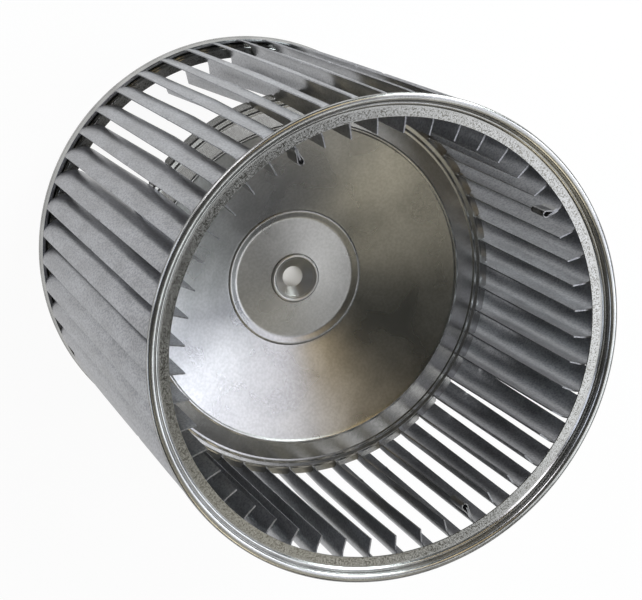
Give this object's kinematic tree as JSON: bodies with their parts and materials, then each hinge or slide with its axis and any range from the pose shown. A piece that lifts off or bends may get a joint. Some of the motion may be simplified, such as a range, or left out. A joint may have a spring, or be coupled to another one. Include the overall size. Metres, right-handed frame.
{
  "type": "blower wheel",
  "caption": "Double-inlet squirrel-cage blower wheel in galvanised sheet, forward-curved blades between end rings, dished centre disc, bored hub.",
  "frame": {"origin": "centre of the lower end ring's outer face, on the wheel's axis, on the surface it stands on", "axes": "+Z along the wheel's axis, from the lower end ring to the one on the disc's hollow side; +X through the tip of a blade"},
  "size_m": [0.27, 0.27, 0.27],
  "materials": {
    "galvanised": "satin, fine zinc grain",
    "galvanised_ring": "satin, mottled zinc grain",
    "galvanised_disc": "semi-bright, spun",
    "turned_steel": "bright turned",
    "black_screw": "black oxide",
    "spring_steel": "plated, semi-bright"
  },
  "bodies": {
    "root": {"blade_strip": "galvanised", "end_ring_upper": "galvanised_ring", "end_ring_lower": "galvanised_ring", "centre_disc": "galvanised_disc", "hub": "turned_steel", "set_screw": "black_screw", "balance_clip_1": "spring_steel", "balance_clip_2": "spring_steel", "balance_clip_3": "spring_steel"}
  },
  "joints": []
}
